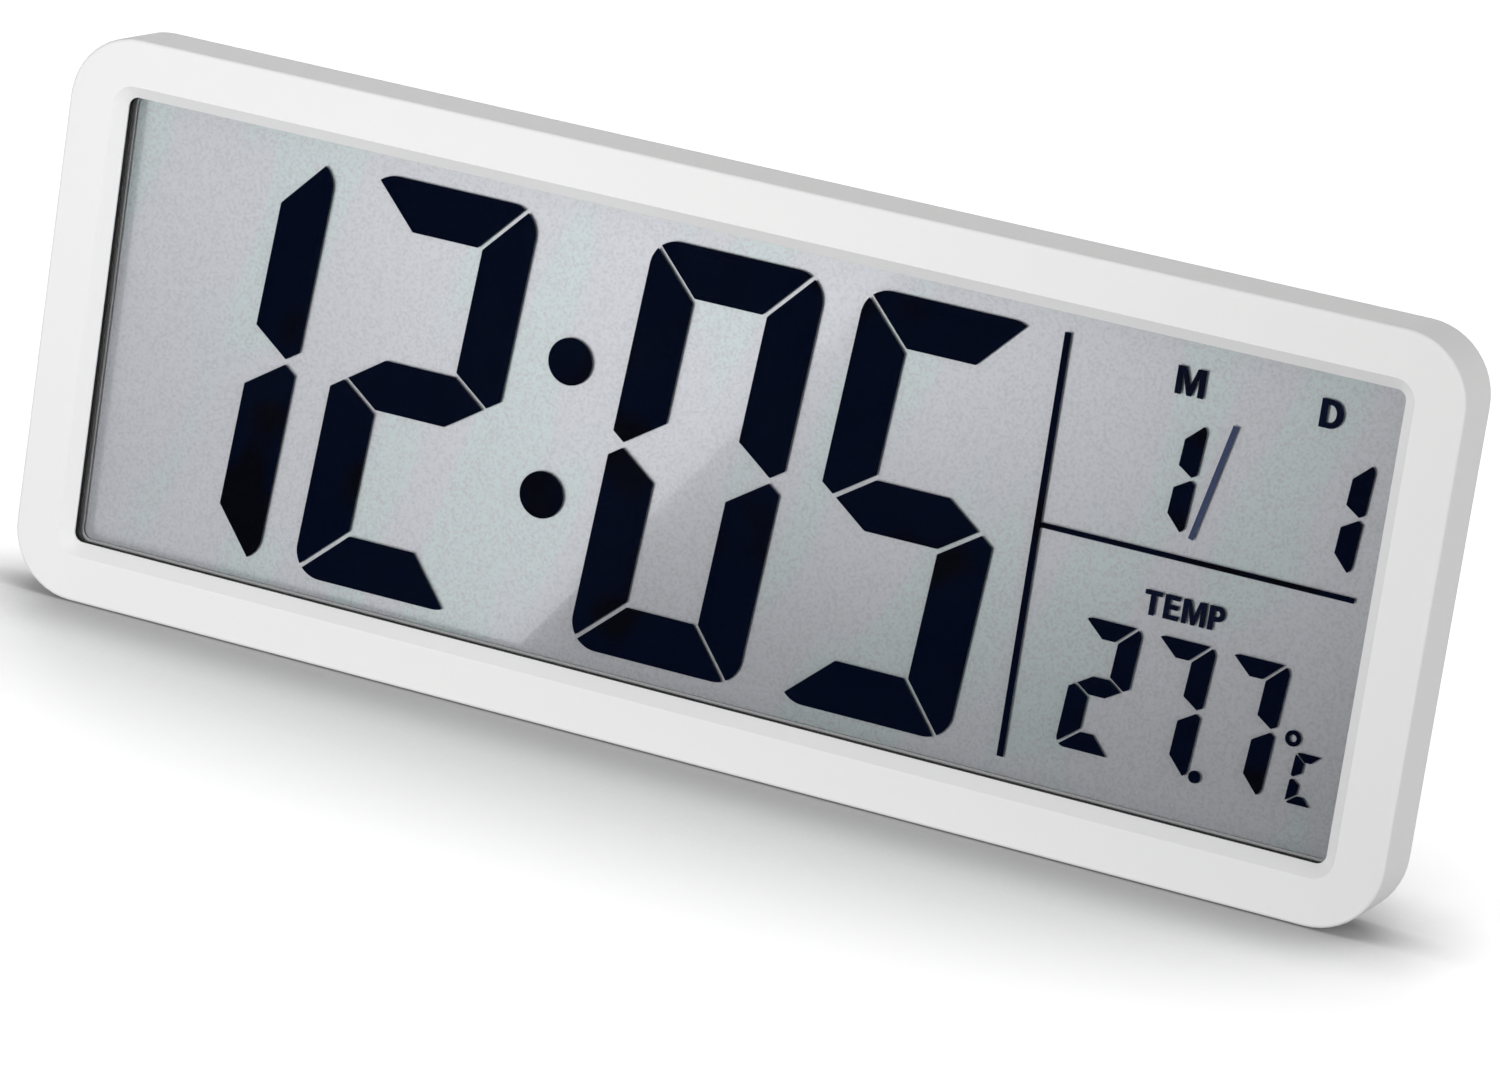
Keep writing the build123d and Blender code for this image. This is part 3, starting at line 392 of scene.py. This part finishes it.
tan, deep_tan = (0.44, 0.30, 0.17, 1), (0.36, 0.24, 0.13, 1)
brown, deep_brown = (0.05, 0.036, 0.028, 1), (0.03, 0.022, 0.018, 1)
red, deep_red = (0.36, 0.018, 0.014, 1), (0.28, 0.012, 0.010, 1)
silicone, deep_silicone = grey(0.29, warm=-0.02), grey(0.24, warm=-0.02)
speckled("button_grey", deep_silicone, silicone, roughness=0.62, grain=0.0005, pit=0.00002)
speckled("epoxy_black", grey(0.010), grey(0.016), roughness=0.22, grain=0.003, pit=0.00006)
speckled("switch_black", grey(0.014), grey(0.022), roughness=0.45, grain=0.0004, pit=0.00001)
speckled("bead_dark", deep_brown, brown, roughness=0.4, grain=0.0006, pit=0.00002)
speckled("ceramic_tan", deep_tan, tan, roughness=0.45, grain=0.0004, pit=0.00001)
speckled("lead_red", deep_red, red, roughness=0.4, grain=0.001, pit=0.00001)
speckled("lead_black", grey(0.010), grey(0.016), roughness=0.4, grain=0.001, pit=0.00001)
print("finishes so far:", len(finish))

# %% [markdown]
# ## Board and connector
# The green board carries fine copper tracks under its varnish. A Brick pattern draws them: the joints
# between long low bricks are the tracks, and the pattern is turned to lie on the board's upright face.
# The rubber connector is striped across its length, so a Wave pattern along X serves it.

# %% Board and connector
track = {"Brick Width": 0.011, "Row Height": 0.0013, "Mortar Size": 0.00022, "Mortar Smooth": 0.2}
track_offset, track_depth = 0.37, 0.00003
varnish, copper = (0.010, 0.075, 0.030, 1), (0.030, 0.16, 0.065, 1)
stripe_scale = 320.0
rubber_pink, rubber_black = (0.5, 0.22, 0.22, 1), grey(0.03)

material, shader, place = new_finish("board_green")
upright = place.node("ShaderNodeMapping", {}, {0: place, "Rotation": (np.pi / 2, 0, 0)})
brick = {"Vector": upright, "Scale": 1.0, **track}
tracks = place.node("ShaderNodeTexBrick", {"offset": track_offset}, brick, 1)
dress(
    shader,
    Base_Color=tracks.mix(varnish, copper),
    Roughness=tracks.between(0.34, 0.26),
    Normal=tracks.bump(track_depth),
)
finish["board_green"] = material

material, shader, place = new_finish("strip_pink")
wave = {"Vector": place, "Scale": stripe_scale}
layers = place.node("ShaderNodeTexWave", {"bands_direction": "X"}, wave)
stripes = layers.steps(0.4, 0.6).mix(rubber_pink, rubber_black)
dress(shader, Base_Color=stripes, Roughness=layers.between(0.6, 0.7))
finish["strip_pink"] = material
print("finishes so far:", len(finish))

# %% [markdown]
# ## Metal
# Contacts and the crystal's can are nickel plated, the pin and the screws are steel.
# Rolling and drawing leave fine lines along one direction. Noise on a place that is squeezed along that
# direction gives such lines, which is simpler than drawing each one.

# %% Metal
scratch_size, scratch_depth = 0.0004, 0.000006


def plated(name, tone, roughness, stretch):
    """Rolled or drawn metal: fine scratches run along the axis whose stretch is small."""
    material, shader, place = new_finish(name)
    scaled = place.node("ShaderNodeMapping", {}, {0: place, "Scale": stretch})
    lines = scaled.noise(scratch_size, detail=3.0)
    dress(
        shader,
        Base_Color=lines.mix(grey(tone * 0.9, warm=0.01), grey(tone, warm=0.005)),
        Metallic=1.0,
        Roughness=lines.between(roughness - 0.08, roughness + 0.08),
        Normal=lines.bump(scratch_depth),
    )
    finish[name] = material


plated("contact_nickel", tone=0.66, roughness=0.28, stretch=(1, 1, 0.15))
plated("can_nickel", tone=0.68, roughness=0.22, stretch=(0.1, 1, 1))
plated("pin_steel", tone=0.55, roughness=0.25, stretch=(0.08, 1, 1))
plated("screw_steel", tone=0.50, roughness=0.35, stretch=(1, 0.3, 1))
print("finishes so far:", len(finish))

# %% [markdown]
# ## Battery cells
# Each cell is a steel can in a plain blue sleeve, with bare metal at both ends and a pale band
# at the plus end. The bands follow the cell's length, so each cell gets a finish of its own
# that measures from its own two ends.

# %% Battery cells
bare_plus, bare_minus, bare_edge = 0.0017, 0.0010, 0.0001
band_end, band_edge = 0.0118, 0.0002
ink_size, ink_depth = 0.004, 0.00001
sleeve_blue, sleeve_deep = (0.024, 0.09, 0.26, 1), (0.018, 0.07, 0.22, 1)
band_pale, can_steel = grey(0.62), grey(0.6)


def cell_sleeve(node, plus_right):
    """Sleeve along X: bare metal at both ends, a pale band next to the plus end, blue between."""
    low, high = (corner[0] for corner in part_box(node))
    material, shader, place = new_finish(node + "_sleeve")
    x = place.axis("X")
    from_plus = high - x if plus_right else x - low
    minus_start = high - low - bare_minus
    past_plus = from_plus.steps(bare_plus, bare_plus + bare_edge)
    bare = 1 - past_plus * (1 - from_plus.steps(minus_start, minus_start + bare_edge))
    band = 1 - from_plus.steps(band_end, band_end + band_edge)
    ink = place.noise(ink_size, detail=3.0)
    sleeve = band.mix(ink.mix(sleeve_deep, sleeve_blue), band_pale)
    dress(
        shader,
        Base_Color=bare.mix(sleeve, can_steel),
        Metallic=bare,
        Roughness=ink.between(0.26, 0.36),
        Normal=ink.bump(ink_depth),
    )
    return material


own_finish["cell_upper"] = cell_sleeve("cell_upper", True)
own_finish["cell_lower"] = cell_sleeve("cell_lower", False)
print("finishes of their own:", sorted(own_finish))

# %% [markdown]
# ## Dress every piece
# The record names a finish for each piece. A piece with a finish of its own takes that one instead.

# %% Dress every piece
for name, piece in nodes.items():
    piece.material_slots[0].material = own_finish.get(name) or finish[slot_of[name]]
used = {piece.material_slots[0].material.name for piece in nodes.values()}
print("dressed", len(nodes), "pieces with", len(used), "finishes")

# %% [markdown]
# ## Words on the display
# Three small words stand over the date and the temperature, in upright bold capitals.
# They are part of the same inked layer as the figures.
# A font would bring its own style, so the letters are drawn here: a letter is a closed outline,
# and some have a second outline for the hole. Each is worked out as an array of points,
# a flat curve fills them, and the curve is made a mesh before it is moved to its place.

# %% Letters
bar, stem = 0.19, 0.245
bowl_points, bowl_power = 25, 0.85


def bowl(x, low, high, reach):
    """Half ring of points from (x, low) to (x, high): a squarish half ellipse that reaches to the right."""
    turn = np.linspace(-np.pi / 2, np.pi / 2, bowl_points)
    across = np.sign(np.cos(turn)) * np.abs(np.cos(turn)) ** bowl_power
    return np.column_stack([x + reach * across, (low + high) / 2 + (high - low) / 2 * np.sin(turn)])


def letter(sign):
    """Width and outlines of a bold capital, in units of its height."""
    if sign == "M":
        points = [(0, 0), (0, 1), (0.32, 1), (0.525, 0.36), (0.73, 1), (1.05, 1), (1.05, 0)]
        points += [(0.82, 0), (0.82, 0.74), (0.62, 0), (0.43, 0), (0.23, 0.74), (0.23, 0)]
        return 1.05, [np.array(points)]
    if sign == "T":
        points = [(0, 1), (0.78, 1), (0.78, 1 - bar), (0.39 + stem / 2, 1 - bar), (0.39 + stem / 2, 0)]
        points += [(0.39 - stem / 2, 0), (0.39 - stem / 2, 1 - bar), (0, 1 - bar)]
        return 0.78, [np.array(points)]
    if sign == "E":
        points = [(0, 0), (0.7, 0), (0.7, bar), (stem, bar), (stem, 0.42), (0.64, 0.42), (0.64, 0.42 + bar)]
        points += [(stem, 0.42 + bar), (stem, 1 - bar), (0.68, 1 - bar), (0.68, 1), (0, 1)]
        return 0.7, [np.array(points)]
    if sign == "P":
        outer = np.vstack([[(0, 1), (0, 0), (stem, 0), (stem, 0.37)], bowl(0.38, 0.37, 1, 0.34)])
        inner = np.vstack([[(stem, 1 - bar), (stem, 0.37 + bar)], bowl(0.37, 0.37 + bar, 1 - bar, 0.12)])
        return 0.72, [outer, inner]
    outer = np.vstack([[(0, 1), (0, 0)], bowl(0.33, 0, 1, 0.50)])
    inner = np.vstack([[(stem, 1 - bar), (stem, bar)], bowl(0.31, bar, 1 - bar, 0.27)])
    return 0.83, [outer, inner]


def word(text, centre, size, gap=0.13):
    """Outlines of a word, set letter after letter, then stretched to a size about a centre, in metres."""
    start, outlines = 0.0, []
    for sign in text:
        width, shapes = letter(sign)
        outlines += [shape + (start, 0) for shape in shapes]
        start += width + gap
    shift = np.array([(start - gap) / 2, 0.5])
    scale = np.array([size[0] / (start - gap), size[1]])
    return [(shape - shift) * scale + centre for shape in outlines]


# %% Words on the display
ink_low, ink_high = (np.array(corner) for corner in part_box("hour_digits"))
middle = (np.array(cad_box[0]) + cad_box[1])[2] / 2
month_place, month_size = (0.1127, middle + 0.04585), (0.0071, 0.00665)
day_place, day_size = (0.14715, middle + 0.04595), (0.0056, 0.00675)
warmth_place, warmth_size = (0.1202, middle - 0.00675), (0.0199, 0.00585)
words = word("M", month_place, month_size)
words += word("D", day_place, day_size)
words += word("TEMP", warmth_place, warmth_size)

sheet = bpy.data.curves.new("words", "CURVE")
sheet.dimensions = "2D"
sheet.fill_mode = "BOTH"
sheet.extrude = (ink_high[1] - ink_low[1]) / 2
for outline in words:
    count = len(outline)
    spline = sheet.splines.new("POLY")
    spline.points.add(count - 1)
    rows = np.column_stack([outline, np.zeros(count), np.ones(count)])
    spline.points.foreach_set("co", rows.ravel())
    spline.use_cyclic_u = True
flat_words = bpy.data.objects.new("flat_words", sheet)
words_mesh = bpy.data.meshes.new_from_object(flat_words)
bpy.data.objects.remove(flat_words)
stood_up = Matrix.Rotation(np.pi / 2, 4, "X")
words_mesh.transform(Matrix.Translation((0, (ink_low[1] + ink_high[1]) / 2, 0)) @ stood_up)
words_mesh.materials.clear()
words_mesh.materials.append(word_ink)
display_words = bpy.data.objects.new("display_words", words_mesh)
bpy.context.scene.collection.objects.link(display_words)
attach(display_words, "case")
print("words:", len(words), "outlines,", len(words_mesh.polygons), "faces")

# %% [markdown]
# ## Floor
# The picture stands on white. The floor takes the clock's soft shadow, and a light of its own lifts the rest
# of it to white, but only for the eye and for mirror images, so no extra light falls on the clock.
# Close to the clock the floor sees less of the room, so its own light dims there with the share of
# free sky above it: one Ambient Occlusion node gives the broad shade round the clock and one the
# dark line under it.

# %% Floor
floor_half, floor_drop = 4.0, 0.0002
paper_low, paper_high, paper_size = 0.445, 0.475, 0.4
broad_shade, contact_shade = 0.2, 0.035

corners = np.array([(-1, -1), (1, -1), (1, 1), (-1, 1)]) * floor_half
floor_points = np.column_stack([corners, np.full(len(corners), -floor_drop)])
floor_mesh = bpy.data.meshes.new("floor")
floor_mesh.from_pydata(floor_points.tolist(), [], [(0, 1, 2, 3)])
floor = bpy.data.objects.new("floor", floor_mesh)
bpy.context.scene.collection.objects.link(floor)


def seen(tree):
    """1 for the eye and for mirror images and 0 for other light: the largest of three Light Path outputs."""
    path = tree.nodes.new("ShaderNodeLightPath")
    eye = Shade(path.outputs["Is Camera Ray"])
    gloss = Shade(path.outputs["Is Glossy Ray"])
    glass = Shade(path.outputs["Is Transmission Ray"])
    return eye.math("MAXIMUM", eye.math("MAXIMUM", eye, gloss), glass)


material, shader, place = new_finish("floor_white")
paper = place.noise(paper_size)
dress(shader, Base_Color=paper.mix(grey(paper_low), grey(paper_high)), Roughness=0.9, Specular_IOR_Level=0.0)
free = place.node("ShaderNodeAmbientOcclusion", {}, {"Distance": broad_shade}, 1)
close = place.node("ShaderNodeAmbientOcclusion", {}, {"Distance": contact_shade}, 1)
lifted = seen(material.node_tree) * free * free * close * close
lift = place.node("ShaderNodeEmission", {}, {"Color": grey(1.0), "Strength": lifted})
both = place.node("ShaderNodeAddShader", {}, {0: Shade(shader.outputs[0]), 1: lift})
plug(material.node_tree.nodes["Material Output"].inputs["Surface"], both)
floor_mesh.materials.append(material)
print("floor:", 2 * floor_half, "m across")

# %% [markdown]
# ## Lights
# The main lamp stands in front and to the left, near enough for the face to darken a little towards
# the right. A weak broad light helps it, one from the right lights the side wall, and one from above
# and behind draws the shadow forward, as in the photograph. The last comes from behind and the left,
# so that the back is as well lit as the front when the clock is turned round.
# Three of them stay out of mirror images, where a small bright lamp would burn a spot.

# %% Room
room_light = 0.13
world = bpy.data.worlds.new("studio")
world.use_nodes = True
bpy.context.scene.world = world
background = world.node_tree.nodes["Background"]
plug(background.inputs["Strength"], seen(world.node_tree).between(room_light, 1))
plug(background.inputs["Color"], grey(1.0))
bpy.context.scene.view_settings.view_transform = "Standard"
print("light of the room:", room_light)

# %% Lights


def looking(place, aim):
    """Matrix of a thing that looks along its own -Z at an aim: its directions and place as columns."""
    place, towards = np.array(place), unit(np.array(aim) - place)
    side = unit(np.cross(towards, [0, 0, 1]))
    made = np.eye(4)
    made[:3, :4] = np.column_stack([side, np.cross(side, towards), -towards, place])
    return Matrix(made.tolist())


def hang(lamp, place, aim):
    """Puts a lamp at a place, aimed at a point."""
    holder = bpy.data.objects.new(lamp.name, lamp)
    holder.matrix_world = looking(place, aim)
    bpy.context.scene.collection.objects.link(holder)
    print("lamp:", holder.name)
    return holder


def soft_sun(name, azimuth, elevation, strength, spread):
    """A broad even light; angles in degrees, azimuth 0 in front of the clock and growing to the right."""
    turn, rise = np.radians([azimuth, elevation])
    place = (np.sin(turn) * np.cos(rise), -np.cos(turn) * np.cos(rise), np.sin(rise))
    lamp = bpy.data.lights.new(name, "SUN")
    lamp.energy = strength
    lamp.angle = np.radians(spread)
    return hang(lamp, place, (0, 0, 0))


front_light = soft_sun("front_light", azimuth=0, elevation=10, strength=0.5, spread=8)
soft_sun("top_light", azimuth=172, elevation=75, strength=0.36, spread=60)
back_light = soft_sun("back_light", azimuth=210, elevation=14, strength=2.0, spread=26)
soft_sun("right_light", azimuth=82, elevation=12, strength=1.7, spread=50)

side_lamp = bpy.data.lights.new("side_light", "AREA")
side_lamp.size = 0.15
side_lamp.energy = 3.92
side_light = hang(side_lamp, place=(-0.165, -0.8, 0.125), aim=(0.0, 0.0, 0.07))
for holder in (front_light, back_light, side_light):
    holder.visible_glossy = False

# %% [markdown]
# ## Graded board
# The ground of the display mirrors a little, and in the photograph a slanting edge parts a lighter left half
# from a darker right one. This is a painted reflection: a board that glows by its own emission stands
# close in front of the display, and its glow is painted in grades: its left field grows lighter towards the
# right and upwards, and its right field, past a slanting edge, fades downwards and towards the far right.
# A mirror ray leaves a point of the display as if it came from the camera's image behind the mirror,
# so a point of the board is the display's point moved away from the camera's place by the ratio
# of the two distances.
# The board is seen by mirror rays alone, and its painted glow is nowhere brighter than the white floor.

# %% Graded board
board_gap = 0.02
mirror_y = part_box("rear_reflector")[0][1]
reach = board_gap / (mirror_y - camera_place[1])
edge_on_display = [(-0.0453, 0.0143), (0.0372, 0.1250)]
rim_on_display = [(-0.19, 0.0143), (0.19, 0.0143), (0.19, 0.14), (-0.19, 0.14)]


def mirrored(points):
    """Points X, Z of the board whose mirror images lie on points X, Z of the display's ground."""
    points = np.array(points)
    return points + (points - camera_place[[0, 2]]) * reach


rim = mirrored(rim_on_display)
board_mesh = bpy.data.meshes.new("graded_board")
board_points = np.column_stack([rim[:, 0], np.full(len(rim), mirror_y - board_gap), rim[:, 1]])
board_mesh.from_pydata(board_points.tolist(), [], [(0, 1, 2, 3)])
graded_board = bpy.data.objects.new("graded_board", board_mesh)
bpy.context.scene.collection.objects.link(graded_board)
graded_board.visible_camera = False
graded_board.visible_diffuse = False
graded_board.visible_transmission = False
graded_board.visible_shadow = False
print("board corners in mm:", np.round(rim * 1000, 1).tolist())

# %% Grades of the board
edge_low, edge_high = mirrored(edge_on_display)
edge_blur = 0.0005
left_base, left_across, left_up = 0.42, 0.32, 0.26
left_run, left_rise = (-0.2, -0.03), (0, 0.14)
right_top, right_fade = 0.8, 0.46
right_run, right_rise = (0.03, 0.16), (-0.02, 0.13)

material, shader, place = new_finish("painted_reflection_board")
x, z = place.axis("X"), place.axis("Z")
slant = (edge_high - edge_low)[0] / (edge_high - edge_low)[1]
past_edge = x - (z - edge_low[1]) * slant
right_field = past_edge.steps(edge_low[0] - edge_blur, edge_low[0] + edge_blur)
light = left_base + x.steps(*left_run) * left_across + z.steps(*left_rise) * left_up
dark = z.steps(*right_rise) * right_top * (1 - x.steps(*right_run) * right_fade)
grade = light + (dark - light) * right_field
# Painted reflection: the board glows with these grades, and the display's ground mirrors them.
dress(
    shader,
    Base_Color=grey(0.0),
    Specular_IOR_Level=0.0,
    Emission_Color=grade.mix(grey(0.0), grey(1.0)),
    Emission_Strength=1.0,
)
board_mesh.materials.append(material)
print("slant of the edge:", round(float(slant), 3))
